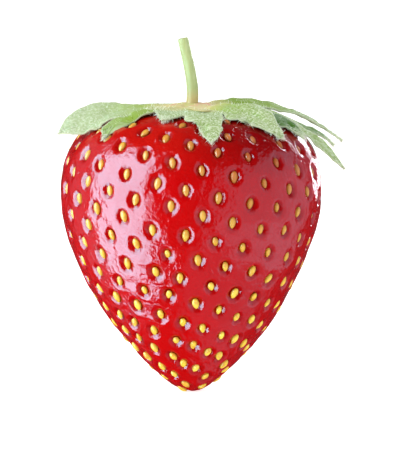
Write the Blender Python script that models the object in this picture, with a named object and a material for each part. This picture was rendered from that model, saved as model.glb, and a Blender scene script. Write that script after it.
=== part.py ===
"""A ripe strawberry, standing on the small flat spot at its tip with its stalk up.

The origin is the middle of that flat spot and +Z runs up the berry's core to the
stalk. A bearing is an angle about +Z from +X, counted towards +Y, so the front of the
berry is at 270 degrees.
"""

import math

import bmesh
import bpy
import numpy as np
from mathutils import Vector

MM = 0.001

# The berry: its outline is two superellipse quarters that meet at the widest ring
BERRY_RADIUS = 18.0 * MM
BERRY_HEIGHT = 39.0 * MM
WIDEST_HEIGHT = 28.3 * MM
CONE_TIP_HEIGHT = -0.55 * MM  # where the cone would end without its flat spot
CONE_POWERS = (1.25, 1.75)  # of the radius and the height, below the widest ring
SHOULDER_POWERS = (3.8, 2.2)  # the same above it
FLAT_SPOT_RADIUS = 1.6 * MM
CALYX_SEAT_RADIUS = 3.6 * MM
FLAT_SIDES = 24  # at the least, on the flat spot and on the calyx's seat
OUTLINE_STEPS = 400  # along each quarter

# The achenes, each in a pit of its own, on a spiral that climbs from the tip
TIP_SPACING = 2.6 * MM  # between neighbours at the tip
FULL_SPACING = 4.0 * MM  # between neighbours on the swollen flesh
FULL_FROM = 24.0 * MM  # along the skin, where that spacing is reached
SPIRAL_ANGLE = math.radians(136.7)  # from one achene to the next, near the golden angle
SPIRAL_LEAN = 10.0  # radians more for each metre along the skin
SPIRAL_START = math.radians(292)
FIRST_ACHENE = 1.4 * MM  # along the skin from the cone's tip
LAST_ACHENE = 49.5 * MM
BARE_TIP = 3.2 * MM  # the achenes nearer than this would be under the flat spot
ROOMY_SPACING = 3.8 * MM  # pits are full-sized where the achenes stand this far apart
ACHENE_SIZE = (0.85 * MM, 1.5 * MM)  # across and along the meridian
ACHENE_CROWN = 0.1 * MM  # how far it stands above the skin
PIT_SIZE = (2.1 * MM, 2.4 * MM)
PIT_DEPTH = 0.35 * MM
FIRST_INSET = 0.05 * MM  # any small one: the new corners are then put in their places

# The calyx, on the berry's top
GAP = 0.3 * MM  # left between pieces that touch
DISC_RADIUS = 2.9 * MM
DISC_THICKNESS = 1.0 * MM
DISC_STEPS = 6
DISC_SIDES = 32
LEAF_THICKNESS = 0.3 * MM
LEAF_ROWS = 10
LEAF_COLUMNS = 4
LEAF_ROOT_RADIUS = DISC_RADIUS + GAP
LEAF_SEATING = 0.1 * MM  # added to the gap under a leaf, because its faces are flat

# Each leaf: its whorl (0 lies on the berry and 1 on the leaves of whorl 0), the bearing
# at its root and how far it swings round, its length and width in mm, the slopes of its
# root and its tip, how late it bends over, and how it rolls about its midrib
LEAVES = {
    "sepal_left": (1, 196, 2, 17.1, 6.4, 18, -43, 0.9, -10),
    "bractlet_back_left": (0, 163, 0, 14.3, 4.0, 3, -21, 1.5, 0),
    "sepal_back_left": (1, 125, 0, 12.4, 6.4, 12, -44, 1.2, 0),
    "sepal_back_right": (0, 74, 0, 12.6, 6.6, 2, -34, 1.5, 0),
    "sepal_right_high": (1, 37, -6, 22.4, 4.6, 12, -48, 1.1, 0),
    "bractlet_right_middle": (0, 13, 4, 18.9, 3.6, 0, -47, 1.5, 0),
    "bractlet_right_low": (1, 359, 2, 21.4, 3.6, 8, -62, 1.0, 0),
    "bractlet_right_short": (0, 338, 11, 13.2, 3.8, 0, -44, 1.6, 0),
    "sepal_front_right": (1, 316, 14, 12.7, 6.0, 12, -47, 1.0, 8),
    "sepal_front": (0, 283, -2, 11.9, 5.8, 0, -33, 1.5, 0),
    "sepal_front_left": (1, 252, -6, 6.9, 5.2, 3, -48, 1.6, 0),
    "bractlet_front_left": (0, 221, -7, 12.2, 3.6, 0, -39, 1.4, -12),
}
LEAF_CUP = 0.1  # how far a leaf's edges hang below its midrib, as a share of its width
LEAF_ROOT = 0.1  # where the root comes along the outline, as a share of a half wave
LEAF_FULLNESS = 0.8  # lower is fuller
LEAF_TIP = 0.06  # the tip's width, as a share of the widest

# The stalk's middle line, from its foot on the disc to its cut end: how far it stands
# to the right of the core and above the foot
STALK_LINE = ((0.2, 0.0), (0.1, 2.6), (-0.1, 4.0), (-0.6, 6.0), (-1.2, 8.1))
STALK_RADIUS = 0.73 * MM

LEAF_GREEN = (0.36, 0.5, 0.22)
PALE_GREEN = (0.55, 0.56, 0.3)
STALK_GREEN = (0.4, 0.58, 0.2)
BERRY_RED = (0.65, 0.01, 0.012)


def empty_scene():
    for thing in list(bpy.data.objects):
        bpy.data.objects.remove(thing)


def finish(name, colour, roughness):
    """A Principled material of one colour."""
    made = bpy.data.materials.new(name)
    made.use_nodes = True
    shader = made.node_tree.nodes["Principled BSDF"]
    shader.inputs["Base Color"].default_value = (*colour, 1)
    shader.inputs["Roughness"].default_value = roughness
    shader.inputs["Metallic"].default_value = 0
    return made


def piece(name, mesh, material):
    """Puts a mesh in the scene as a named object, shaded smooth."""
    made = bpy.data.objects.new(name, mesh)
    bpy.context.collection.objects.link(made)
    made.data.materials.append(material)
    made.data.shade_smooth()
    return made


def mesh_of(name, shape):
    """Turns a bmesh into a mesh and frees it."""
    mesh = bpy.data.meshes.new(name)
    shape.to_mesh(mesh)
    shape.free()
    return mesh


def outline():
    """Length along the skin, radius and height, from the cone's tip to the top."""
    turn = np.linspace(0, math.pi / 2, OUTLINE_STEPS)
    cone_radius = np.sin(turn) ** (2 / CONE_POWERS[0])
    cone_height = 1 - np.cos(turn) ** (2 / CONE_POWERS[1])
    shoulder_radius = np.cos(turn) ** (2 / SHOULDER_POWERS[0])
    shoulder_height = np.sin(turn) ** (2 / SHOULDER_POWERS[1])
    radius = BERRY_RADIUS * np.concatenate([cone_radius, shoulder_radius[1:]])
    height = np.concatenate(
        [
            CONE_TIP_HEIGHT + cone_height * (WIDEST_HEIGHT - CONE_TIP_HEIGHT),
            WIDEST_HEIGHT + shoulder_height[1:] * (BERRY_HEIGHT - WIDEST_HEIGHT),
        ]
    )
    steps = np.hypot(np.diff(radius), np.diff(height))
    return np.concatenate([[0], np.cumsum(steps)]), radius, height


ARC, RADIUS, HEIGHT = outline()


def skin_point(arc, bearing):
    radius = np.interp(arc, ARC, RADIUS)
    height = np.interp(arc, ARC, HEIGHT)
    return Vector((radius * math.cos(bearing), radius * math.sin(bearing), height))


def skin_frame(arc, bearing):
    """Across, up the meridian and out of the skin, as unit vectors."""
    step = 0.2 * MM
    across = Vector((-math.sin(bearing), math.cos(bearing), 0))
    up = (skin_point(arc + step, bearing) - skin_point(arc - step, bearing)).normalized()
    return across, up, across.cross(up)


def spacing_at(arc):
    """How far apart the achenes stand: closest at the tip, where the flesh swelled least."""
    return np.interp(arc, (0, FULL_FROM), (TIP_SPACING, FULL_SPACING))


def achene_places():
    """(arc, bearing) of each achene. They are counted up the skin by the room that each
    one takes in a pattern of equal triangles, and each is turned from the one below."""
    along = np.linspace(FIRST_ACHENE, LAST_ACHENE, OUTLINE_STEPS)
    room = spacing_at(along) ** 2 * math.sqrt(3) / 2
    crowd = math.tau * np.interp(along, ARC, RADIUS) / room
    below = np.cumsum((crowd[1:] + crowd[:-1]) / 2 * np.diff(along))
    count = np.concatenate([[0], below])
    numbers = np.arange(int(count[-1])) + 0.5
    arcs = np.interp(numbers, count, along)
    bearings = SPIRAL_START - numbers * SPIRAL_ANGLE - arcs * SPIRAL_LEAN
    return [(float(a), float(b)) for a, b in zip(arcs, bearings) if a > BARE_TIP]


def on_sphere(arc, bearing):
    polar = math.pi * arc / ARC[-1]
    level = math.sin(polar)
    return Vector((level * math.cos(bearing), level * math.sin(bearing), -math.cos(polar)))


def from_sphere(point):
    polar = math.acos(max(-1, min(1, -point.normalized().z)))
    return skin_point(polar * ARC[-1] / math.pi, math.atan2(point.y, point.x))


def faces_round(vert):
    """The faces at a vertex of a closed mesh, in order round it."""
    found = []
    loop = vert.link_loops[0]
    while loop.face not in found:
        found.append(loop.face)
        loop = loop.link_loop_prev.link_loop_radial_next
    return found


def skin_cells(places):
    """The skin as one cell for each place, with its corners where three cells meet.

    The places on a sphere have a convex hull of triangles. Each cell has a corner for
    each triangle at its place, so the cells are that hull's dual.
    """
    hull = bmesh.new()
    for arc, bearing in places:
        hull.verts.new(on_sphere(arc, bearing))
    seeds = list(hull.verts)
    bmesh.ops.convex_hull(hull, input=seeds)
    bmesh.ops.recalc_face_normals(hull, faces=hull.faces)
    skin = bmesh.new()
    corners = {face: skin.verts.new(from_sphere(face.calc_center_median())) for face in hull.faces}
    cells = [skin.faces.new([corners[face] for face in faces_round(seed)]) for seed in seeds]
    hull.free()
    bmesh.ops.recalc_face_normals(skin, faces=skin.faces)
    return skin, cells


def inset_to_ellipse(skin, cell, place, size, depth):
    """Insets a cell and moves its new edge to an ellipse that lies depth under the skin."""
    bmesh.ops.inset_individual(skin, faces=[cell], thickness=FIRST_INSET)
    across, up, out = skin_frame(*place)
    middle = skin_point(*place) - out * depth
    centre = cell.calc_center_median()
    for corner in cell.verts:
        turn = math.atan2((corner.co - centre).dot(up), (corner.co - centre).dot(across))
        sideways = across * math.cos(turn) * size[0] / 2
        corner.co = middle + sideways + up * math.sin(turn) * size[1] / 2


def flatten(skin, cell, radius, height):
    """Insets the cell at the top or the tip to a flat, level and round one."""
    cuts = math.ceil(FLAT_SIDES / len(cell.edges))
    for edge in list(cell.edges):
        for left in range(cuts, 1, -1):
            edge, _ = bmesh.utils.edge_split(edge, edge.verts[0], 1 - 1 / left)
    bmesh.ops.inset_individual(skin, faces=[cell], thickness=FIRST_INSET)
    for corner in cell.verts:
        level = Vector((corner.co.x, corner.co.y)).normalized() * radius
        corner.co = Vector((level.x, level.y, height))


def berry(material):
    places = achene_places()
    skin, cells = skin_cells([*places, (0, 0), (ARC[-1], 0)])
    for cell, place in zip(cells, places):
        grown = min(1, spacing_at(place[0]) / ROOMY_SPACING)
        inset_to_ellipse(skin, cell, place, [grown * size for size in PIT_SIZE], 0)
        inset_to_ellipse(skin, cell, place, [grown * size for size in ACHENE_SIZE], PIT_DEPTH)
        crown = bmesh.ops.poke(skin, faces=[cell])["verts"][0]
        crown.co = skin_point(*place) + skin_frame(*place)[2] * ACHENE_CROWN
    flatten(skin, cells[-2], FLAT_SPOT_RADIUS, 0)
    flatten(skin, cells[-1], CALYX_SEAT_RADIUS, BERRY_HEIGHT)
    return piece("berry", mesh_of("berry", skin), material)


def calyx_disc(material):
    """The disc that the leaves and the stalk grow from: a domed button, spun round Z."""
    shape = bmesh.new()
    foot = BERRY_HEIGHT + GAP
    rim = [shape.verts.new((0, 0, foot)), shape.verts.new((DISC_RADIUS, 0, foot))]
    for step in range(1, DISC_STEPS + 1):
        turn = math.pi / 2 * step / DISC_STEPS
        across = DISC_RADIUS * math.cos(turn)
        rim.append(shape.verts.new((across, 0, foot + DISC_THICKNESS * math.sin(turn))))
    rim[-1].co.x = 0
    edges = [shape.edges.new(pair) for pair in zip(rim, rim[1:])]
    bmesh.ops.spin(
        shape, geom=rim + edges, axis=(0, 0, 1), angle=math.tau, steps=DISC_SIDES
    )
    bmesh.ops.remove_doubles(shape, verts=shape.verts, dist=0.001 * MM)
    bmesh.ops.recalc_face_normals(shape, faces=shape.faces)
    return piece("calyx_disc", mesh_of("calyx_disc", shape), material)


def level_direction(bearing):
    return Vector((math.cos(bearing), math.sin(bearing), 0))


def leaf_rows(bearing, sweep, length, rise, droop, bend, foot):
    """(share of the length, point, direction) along a leaf's midrib, root to tip."""
    point = level_direction(math.radians(bearing)) * LEAF_ROOT_RADIUS
    point.z = foot
    for row in range(LEAF_ROWS + 1):
        share = row / LEAF_ROWS
        slope = math.radians(rise + (droop - rise) * share**bend)
        ahead = level_direction(math.radians(bearing + sweep * share)) * math.cos(slope)
        ahead.z = math.sin(slope)
        yield share, point.copy(), ahead
        point += ahead * length * MM / LEAF_ROWS


def leaf_width(share):
    """A leaf's width as a share of its widest: a narrow root, and a point at the tip."""
    wave = math.sin(math.pi * (LEAF_ROOT + (1 - LEAF_ROOT) * share))
    return max(LEAF_TIP, wave**LEAF_FULLNESS)


def shoulder_at(clearance):
    """The outline of the berry's shoulder moved outwards: radius and height, core first."""
    shoulder = HEIGHT > WIDEST_HEIGHT
    slope = np.arctan2(np.gradient(HEIGHT[shoulder]), np.gradient(RADIUS[shoulder]))
    radius = RADIUS[shoulder] + clearance * np.sin(slope)
    height = HEIGHT[shoulder] - clearance * np.cos(slope)
    return radius[::-1], height[::-1]


def leaf(name, whorl, bearing, sweep, length, width, rise, droop, bend, roll, material):
    """One calyx leaf: a grid laid along its midrib, then given its thickness."""
    shape = bmesh.new()
    rows = []
    clearance = GAP + LEAF_SEATING + LEAF_THICKNESS / 2 + whorl * (LEAF_THICKNESS + GAP)
    seat = shoulder_at(clearance)
    foot = BERRY_HEIGHT + clearance
    for share, point, ahead in leaf_rows(bearing, sweep, length, rise, droop, bend, foot):
        side = Vector((-ahead.y, ahead.x, 0)).normalized()
        lift = ahead.cross(side)
        turn = math.radians(roll) * share
        side = side * math.cos(turn) + lift * math.sin(turn)
        lift = ahead.cross(side)
        across = width * MM * leaf_width(share)
        row = []
        for column in range(LEAF_COLUMNS + 1):
            place = 2 * column / LEAF_COLUMNS - 1
            hang = LEAF_CUP * across * place**2
            spot = point + side * across * place / 2 - lift * hang
            spot.z = max(spot.z, np.interp(math.hypot(spot.x, spot.y), *seat, right=0))
            row.append(shape.verts.new(spot))
        rows.append(row)
    for near, far in zip(rows, rows[1:]):
        for column in range(LEAF_COLUMNS):
            shape.faces.new((near[column], far[column], far[column + 1], near[column + 1]))
    bmesh.ops.recalc_face_normals(shape, faces=shape.faces)
    made = piece(name, mesh_of(name, shape), material)
    thicken = made.modifiers.new("thickness", "SOLIDIFY")
    thicken.thickness = LEAF_THICKNESS
    thicken.offset = 0
    return made


def stalk(material):
    """The stalk: a round bar along a smooth curve, with flat cut ends."""
    path = bpy.data.curves.new("stalk", "CURVE")
    path.dimensions = "3D"
    path.bevel_depth = STALK_RADIUS
    path.bevel_resolution = 3
    path.resolution_u = 4
    path.use_fill_caps = True
    line = path.splines.new("BEZIER")
    line.bezier_points.add(len(STALK_LINE) - 1)
    foot = BERRY_HEIGHT + GAP + DISC_THICKNESS + GAP
    for point, (across, above) in zip(line.bezier_points, STALK_LINE):
        point.co = (across * MM, 0, foot + above * MM)
        point.handle_left_type = "AUTO"
        point.handle_right_type = "AUTO"
    made = bpy.data.objects.new("stalk", path)
    bpy.context.collection.objects.link(made)
    path.materials.append(material)
    return made


def strawberry():
    empty_scene()
    berry(finish("berry skin", BERRY_RED, 0.15))
    calyx_disc(finish("calyx disc", PALE_GREEN, 0.6))
    leaf_finish = finish("calyx leaf", LEAF_GREEN, 0.6)
    for name, measures in LEAVES.items():
        leaf(name, *measures, leaf_finish)
    stalk(finish("stalk", STALK_GREEN, 0.5))


strawberry()
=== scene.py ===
# %% [markdown]
# # A ripe strawberry, standing on its tip
# The frame holds plain solids: the berry, the disc on its top, twelve leaves and the
# stalk. Each is replaced here by a finely modelled piece in the same place, and the
# achenes, which most people call seeds, become pieces of their own. Everything is in
# metres, +Z is up and the front of the berry faces -Y.

# %% Load the frame
import math

import bpy
import numpy as np
from mathutils import Matrix, Vector


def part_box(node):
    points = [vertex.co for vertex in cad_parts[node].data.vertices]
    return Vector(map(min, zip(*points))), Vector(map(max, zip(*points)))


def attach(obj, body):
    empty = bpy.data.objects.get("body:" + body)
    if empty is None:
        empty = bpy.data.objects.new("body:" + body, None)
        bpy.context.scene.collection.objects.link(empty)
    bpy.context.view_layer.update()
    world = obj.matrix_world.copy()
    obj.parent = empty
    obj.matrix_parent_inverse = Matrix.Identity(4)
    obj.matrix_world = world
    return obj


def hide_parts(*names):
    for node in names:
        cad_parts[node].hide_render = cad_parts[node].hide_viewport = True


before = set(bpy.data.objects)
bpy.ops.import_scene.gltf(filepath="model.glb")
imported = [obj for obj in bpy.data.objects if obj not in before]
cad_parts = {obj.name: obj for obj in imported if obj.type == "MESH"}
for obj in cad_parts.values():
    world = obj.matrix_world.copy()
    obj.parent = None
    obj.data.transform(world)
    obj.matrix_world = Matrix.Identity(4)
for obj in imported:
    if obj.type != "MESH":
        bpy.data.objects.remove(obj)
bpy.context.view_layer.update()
MM = 0.001
BERRY_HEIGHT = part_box("berry")[1].z
print(f"the berry is {BERRY_HEIGHT / MM:.1f} mm high")
print("its parts:", ", ".join(sorted(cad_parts)))

# %% [markdown]
# ## Four helpers for modelling
# Blender's operators act on whatever is selected, so each step starts by saying what
# that is. `only` selects one object. `pick` selects the vertices of a mesh whose places
# pass a test, which is how a face or an edge is chosen with no mouse. `add_modifier` adds
# a modifier with its settings, and `apply_all` turns a piece's modifiers into real
# geometry.


# %% Select one object
def only(piece):
    """Makes one object the selected and the active one, in object mode."""
    if bpy.context.mode != "OBJECT":
        bpy.ops.object.mode_set(mode="OBJECT")
    bpy.ops.object.select_all(action="DESELECT")
    piece.select_set(True)
    bpy.context.view_layer.objects.active = piece
    return piece


bpy.context.view_layer.objects.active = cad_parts["berry"]
only(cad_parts["berry"])
print("selected:", [thing.name for thing in bpy.context.selected_objects])


# %% Select vertices by their place
def pick(piece, test):
    """Enters edit mode with only the vertices selected whose places pass the test."""
    only(piece)
    bpy.ops.object.mode_set(mode="EDIT")
    bpy.context.tool_settings.mesh_select_mode = (True, False, False)
    bpy.ops.mesh.select_all(action="DESELECT")
    bpy.ops.object.mode_set(mode="OBJECT")
    chosen = [bool(test(vertex.co)) for vertex in piece.data.vertices]
    piece.data.vertices.foreach_set("select", chosen)
    bpy.ops.object.mode_set(mode="EDIT")
    return sum(chosen)


# %% Add and apply modifiers
def add_modifier(piece, kind, **settings):
    made = piece.modifiers.new(kind.lower(), kind)
    for name, value in settings.items():
        setattr(made, name, value)
    return made


def apply_all(piece):
    """Applies a piece's modifiers from the top down."""
    only(piece)
    for modifier in list(piece.modifiers):
        bpy.ops.object.modifier_apply(modifier=modifier.name)
    print(f"{piece.name}: {len(piece.data.polygons)} faces")
    return piece


# %% [markdown]
# ## Three helpers for materials
# Colours are picked as sRGB hex values, as in any paint program, but a shader works in
# linear light, so one function converts them. Another adds a node to a material with its
# settings and its links, which keeps each recipe below as short as a list. The third
# makes the material itself.


# %% Hex colour to linear
def colour(code):
    """An sRGB hex colour as the linear RGBA that a socket takes."""
    shares = [int(code[i : i + 2], 16) / 255 for i in (0, 2, 4)]
    linear = [s / 12.92 if s <= 0.04045 else ((s + 0.055) / 1.055) ** 2.4 for s in shares]
    return (*linear, 1)


print("ripe red in linear light:", [round(share, 3) for share in colour("c00a10")])


# %% Add one node
def add_node(material, kind, inputs=None, **settings):
    """Adds a shader node. An input is a value, or an output socket to link from."""
    tree = material.node_tree
    made = tree.nodes.new("ShaderNode" + kind)
    for name, value in settings.items():
        setattr(made, name, value)
    for name, value in (inputs or {}).items():
        if isinstance(value, bpy.types.NodeSocket):
            tree.links.new(value, made.inputs[name])
        else:
            made.inputs[name].default_value = value
    return made


def new_material(name):
    """A material with a Principled shader, and that shader."""
    made = bpy.data.materials.new(name)
    made.use_nodes = True
    return made, made.node_tree.nodes["Principled BSDF"]


# %% [markdown]
# ## Camera
# A long lens half a metre away shows a thing this small with hardly any perspective. The
# lens is worked out from the 62 mm of height that it takes in there. The camera stands 7
# degrees above level, which shows a little of the calyx's upper side.

# %% Camera
CAMERA_DISTANCE = 0.5
CAMERA_ELEVATION = math.radians(7)
VIEW_HEIGHT = 62.1 * MM
SENSOR = 36  # mm wide
AIM = Vector((1.4 * MM, 0, 23.1 * MM))

camera_data = bpy.data.cameras.new("camera")
camera_data.sensor_width = SENSOR
camera_data.lens = SENSOR * CAMERA_DISTANCE / VIEW_HEIGHT
camera_data.clip_start = 0.01
camera = bpy.data.objects.new("camera", camera_data)
bpy.context.scene.collection.objects.link(camera)
towards_camera = Vector((0, -math.cos(CAMERA_ELEVATION), math.sin(CAMERA_ELEVATION)))
camera.location = AIM + towards_camera * CAMERA_DISTANCE
camera.rotation_euler = (math.pi / 2 - CAMERA_ELEVATION, 0, 0)
bpy.context.scene.camera = camera
print(f"lens {camera_data.lens:.0f} mm")

# %% [markdown]
# ## Studio light
# A glossy berry shows the lights themselves on its skin. A tall softbox at the left gives
# the broad pale patch, and a faint strip beside it carries that on towards the edge. Dim
# reflectors at the right and below give a thin veil, and a strip behind the right
# shoulder gives the bright rim. The lights named gloss are only mirrored in the skin, and
# those named light only light the flesh. The room adds an even light, so the world is
# bright for diffuse rays and dark for the mirror-like ones.


# %% One function for the lights
def area_light(name, azimuth, elevation, distance, size, radiance, tint, glossy, diffuse):
    """A rectangle of light that faces the berry. Azimuth 0 is where the camera stands,
    and it grows to the right. Radiance 1 looks as bright as white paper in the room."""
    data = bpy.data.lights.new(name, "AREA")
    data.shape = "RECTANGLE"
    data.size, data.size_y = size
    data.energy = radiance * math.pi * size[0] * size[1]
    data.color = tint
    made = bpy.data.objects.new(name, data)
    bpy.context.scene.collection.objects.link(made)
    turn, rise = math.radians(azimuth), math.radians(elevation)
    level = Vector((math.sin(turn), -math.cos(turn), 0)) * math.cos(rise)
    direction = level + Vector((0, 0, math.sin(rise)))
    made.location = direction * distance + Vector((0, 0, BERRY_HEIGHT / 2))
    made.rotation_euler = direction.to_track_quat("Z", "Y").to_euler()
    made.visible_glossy = glossy
    made.visible_diffuse = diffuse
    made.visible_camera = False
    return made


LAVENDER = (0.36, 0.87, 1.13)  # added to the red of the flesh, it looks pink
WARM = (1.0, 0.98, 0.95)
COOL = (0.9, 0.92, 1.0)
# name, azimuth, elevation, distance, size, radiance, tint, mirrored, lights the flesh
area_light("softbox_gloss", -65, 0, 0.25, (0.28, 0.66), 17.0, LAVENDER, True, False)
area_light("softbox_light", -55, 35, 0.3, (0.3, 0.4), 2.6, WARM, False, True)
area_light("side_gloss", -118, 0, 0.25, (0.1, 0.5), 0.6, LAVENDER, True, False)
area_light("reflector_gloss", 70, 0, 0.25, (0.62, 0.46), 1.35, LAVENDER, True, False)
area_light("reflector_light", 75, 25, 0.3, (0.3, 0.4), 0.5, WARM, False, True)
area_light("table_gloss", 55, -55, 0.25, (0.4, 0.3), 0.6, LAVENDER, True, False)
area_light("rim_gloss", 149, 22, 0.3, (0.05, 0.3), 18.0, COOL, True, False)
area_light("rim_light", 150, 35, 0.3, (0.2, 0.3), 1.5, WARM, False, True)

# %% The room and the floor
ROOM_LIGHT = (0.62, 0.62, 0.62, 1)  # what lights the flesh evenly
ROOM_MIRRORED = (0.06, 0.05, 0.06, 1)  # what the skin mirrors between the lights
WHITE = (1, 1, 1, 1)
world = bpy.data.worlds.new("studio")
bpy.context.scene.world = world
world.use_nodes = True
background = world.node_tree.nodes["Background"]
ray = add_node(world, "LightPath")
room = add_node(world, "MixRGB", {
    "Fac": ray.outputs["Is Glossy Ray"], "Color1": ROOM_LIGHT, "Color2": ROOM_MIRRORED})
seen = add_node(world, "MixRGB", {
    "Fac": ray.outputs["Is Camera Ray"], "Color1": room.outputs[0], "Color2": WHITE})
world.node_tree.links.new(seen.outputs[0], background.inputs["Color"])

FLOOR_SIZE = 3.0
bpy.ops.object.select_all(action="DESELECT")
bpy.ops.mesh.primitive_plane_add(size=FLOOR_SIZE, location=(0, 0, 0))
floor = bpy.context.object
floor.name = "floor"
floor.visible_glossy = False
paper, paper_shader = new_material("white backdrop paper")
# Matt paper that glows a little, so the floor stays white right up to the berry
paper_shader.inputs["Base Color"].default_value = (0.9, 0.9, 0.9, 1)
paper_shader.inputs["Roughness"].default_value = 1.0
paper_shader.inputs["Specular IOR Level"].default_value = 0.0
paper_shader.inputs["Emission Color"].default_value = WHITE
paper_shader.inputs["Emission Strength"].default_value = 0.75
floor.data.materials.append(paper)
bpy.context.scene.view_settings.view_transform = "Standard"

# %% [markdown]
# ## The berry's outline
# A conical strawberry is nearly round about its core, so its shape is one outline turned
# about Z. Two quarters of a superellipse meet at the widest ring: a soft cone below it
# and a fuller shoulder above. The tip is rounded off where the berry stands.

# %% Outline
BERRY_RADIUS = 18.0 * MM
WIDEST_HEIGHT = 28.3 * MM
CONE_TIP_HEIGHT = -0.55 * MM
CONE_POWERS = (1.25, 1.75)  # of the radius and the height, below the widest ring
SHOULDER_POWERS = (3.8, 2.2)  # the same above it
TIP_ROUNDING = 0.35 * MM


def outline():
    """Length along the skin, radius and height, from the tip to the middle of the top."""
    turn = np.linspace(0, math.pi / 2, 400)
    cone_radius = np.sin(turn) ** (2 / CONE_POWERS[0])
    cone_height = 1 - np.cos(turn) ** (2 / CONE_POWERS[1])
    shoulder_radius = np.cos(turn) ** (2 / SHOULDER_POWERS[0])
    shoulder_height = np.sin(turn) ** (2 / SHOULDER_POWERS[1])
    radius = BERRY_RADIUS * np.concatenate([cone_radius, shoulder_radius[1:]])
    cone = CONE_TIP_HEIGHT + cone_height * (WIDEST_HEIGHT - CONE_TIP_HEIGHT)
    shoulder = WIDEST_HEIGHT + shoulder_height[1:] * (BERRY_HEIGHT - WIDEST_HEIGHT)
    height = np.concatenate([cone, shoulder])
    height = (height + np.sqrt(height**2 + TIP_ROUNDING**2)) / 2
    steps = np.hypot(np.diff(radius), np.diff(height))
    return np.concatenate([[0], np.cumsum(steps)]), radius, height - height[0]


ARC, RADIUS, HEIGHT = outline()
print(f"from tip to top along the skin: {ARC[-1] / MM:.1f} mm")


# %% Places on the skin
def skin_point(arc, bearing):
    radius = np.interp(arc, ARC, RADIUS)
    height = np.interp(arc, ARC, HEIGHT)
    return Vector((radius * math.cos(bearing), radius * math.sin(bearing), height))


def skin_frame(arc, bearing):
    """Across, up the meridian and out of the skin, as unit vectors."""
    step = 0.2 * MM
    across = Vector((-math.sin(bearing), math.cos(bearing), 0))
    up = (skin_point(arc + step, bearing) - skin_point(arc - step, bearing)).normalized()
    return across, up, across.cross(up)


widest_point = skin_point(np.interp(WIDEST_HEIGHT, HEIGHT, ARC), 0)
print("widest point:", [round(x / MM, 1) for x in widest_point])

# %% [markdown]
# ## Where the achenes are
# The achenes sit on a spiral: each is turned from the one below it by a little less than
# the golden angle, and stands as far up as the room that it takes. They stand closer
# together near the tip, where the flesh has swollen least. Growth is never exact, so
# each strays a little from its place.

# %% Achene places
TIP_SPACING = 2.6 * MM  # between neighbours at the tip
FULL_SPACING = 4.0 * MM  # between neighbours on the swollen flesh
FULL_FROM = 24.0 * MM  # along the skin, where that spacing is reached
SPIRAL_ANGLE = math.radians(136.7)
SPIRAL_LEAN = 10.0  # radians more for each metre along the skin
SPIRAL_START = math.radians(292)
FIRST_ACHENE = 1.4 * MM
LAST_ACHENE = 49.5 * MM
WANDER = 0.17 * MM  # how far an achene strays, as a standard deviation


def achene_places():
    """(arc, bearing) of each achene, from the tip up."""
    along = np.linspace(FIRST_ACHENE, LAST_ACHENE, 400)
    apart = np.interp(along, (0, FULL_FROM), (TIP_SPACING, FULL_SPACING))
    ring = math.tau * np.interp(along, ARC, RADIUS)
    crowd = ring / (apart**2 * math.sqrt(3) / 2)
    below = np.cumsum((crowd[1:] + crowd[:-1]) / 2 * np.diff(along))
    count = np.concatenate([[0], below])
    numbers = np.arange(int(count[-1])) + 0.5
    arcs = np.interp(numbers, count, along)
    bearings = SPIRAL_START - numbers * SPIRAL_ANGLE - arcs * SPIRAL_LEAN
    stray = np.random.default_rng(7).normal(0, WANDER, (2, len(arcs)))
    bearings += stray[0] / np.maximum(np.interp(arcs, ARC, RADIUS), 2 * MM)
    return list(zip(arcs + stray[1], bearings))


PLACES = achene_places()
print(len(PLACES), "achenes")

# %% [markdown]
# ## The flesh
# The outline is extruded point by point and spun about the core, as on a lathe. Then two
# vertex groups are painted: one for the pits, deep under each achene, and one for the
# flesh that swells between them. Displace modifiers push the skin in and out by those
# weights, and a cloud texture makes the whole berry a little uneven.

# %% Spin the outline
SKIN_RINGS = 232
SKIN_STEPS = 400


def spun_skin():
    bpy.ops.object.select_all(action="DESELECT")
    bpy.ops.mesh.primitive_plane_add(size=MM)
    skin = bpy.context.object
    skin.name = "berry_skin"
    bpy.ops.object.mode_set(mode="EDIT")
    bpy.ops.mesh.select_all(action="SELECT")
    bpy.ops.mesh.merge(type="CENTER")
    arcs = np.linspace(0, ARC[-1], SKIN_RINGS)
    radii = np.interp(arcs, ARC, RADIUS)
    heights = np.interp(arcs, ARC, HEIGHT)
    bpy.ops.transform.translate(value=(0, 0, heights[0]))
    for wider, higher in zip(np.diff(radii), np.diff(heights)):
        move = {"value": (wider, 0, higher)}
        bpy.ops.mesh.extrude_vertices_move(TRANSFORM_OT_translate=move)
    bpy.ops.mesh.select_all(action="SELECT")
    bpy.ops.mesh.spin(steps=SKIN_STEPS, angle=math.tau, center=(0, 0, 0), axis=(0, 0, 1))
    bpy.ops.mesh.select_all(action="SELECT")
    bpy.ops.mesh.remove_doubles(threshold=0.001 * MM)
    bpy.ops.mesh.normals_make_consistent(inside=False)
    bpy.ops.object.mode_set(mode="OBJECT")
    return skin


skin = spun_skin()
print("skin:", len(skin.data.polygons), "faces")

# %% Pit shapes
PIT_HALF = (0.8 * MM, 1.0 * MM)  # across and along the meridian
PIT_WALL = 3.7  # a higher power makes a flatter floor and a steeper wall
LIP_PLACE, LIP_WIDTH = 1.4, 0.3  # in pit half-widths
LIP_HEIGHT = 0.05 * MM
SWELL_REACH = 1.7 * MM
SWELL_HEIGHT = 0.12 * MM
PIT_REACH = 5 * MM  # beyond this a pit changes nothing
PIT_PLACES = (2, 14, 34, 44, 50)  # mm along the skin
PIT_DEPTHS = (0.22, 0.42, 0.56, 0.5, 0.35)  # mm deep there
PIT_SIZES = (0.92, 1.1)
PIT_SLANT = 0.16  # radians, as a standard deviation
PIT_UNEVENNESS = (0.85, 1.1)  # of the depth


def pit_depth(arc):
    """Pits are deep on the swollen shoulder and shallow at the tip."""
    return np.interp(arc / MM, PIT_PLACES, PIT_DEPTHS) * MM


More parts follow.
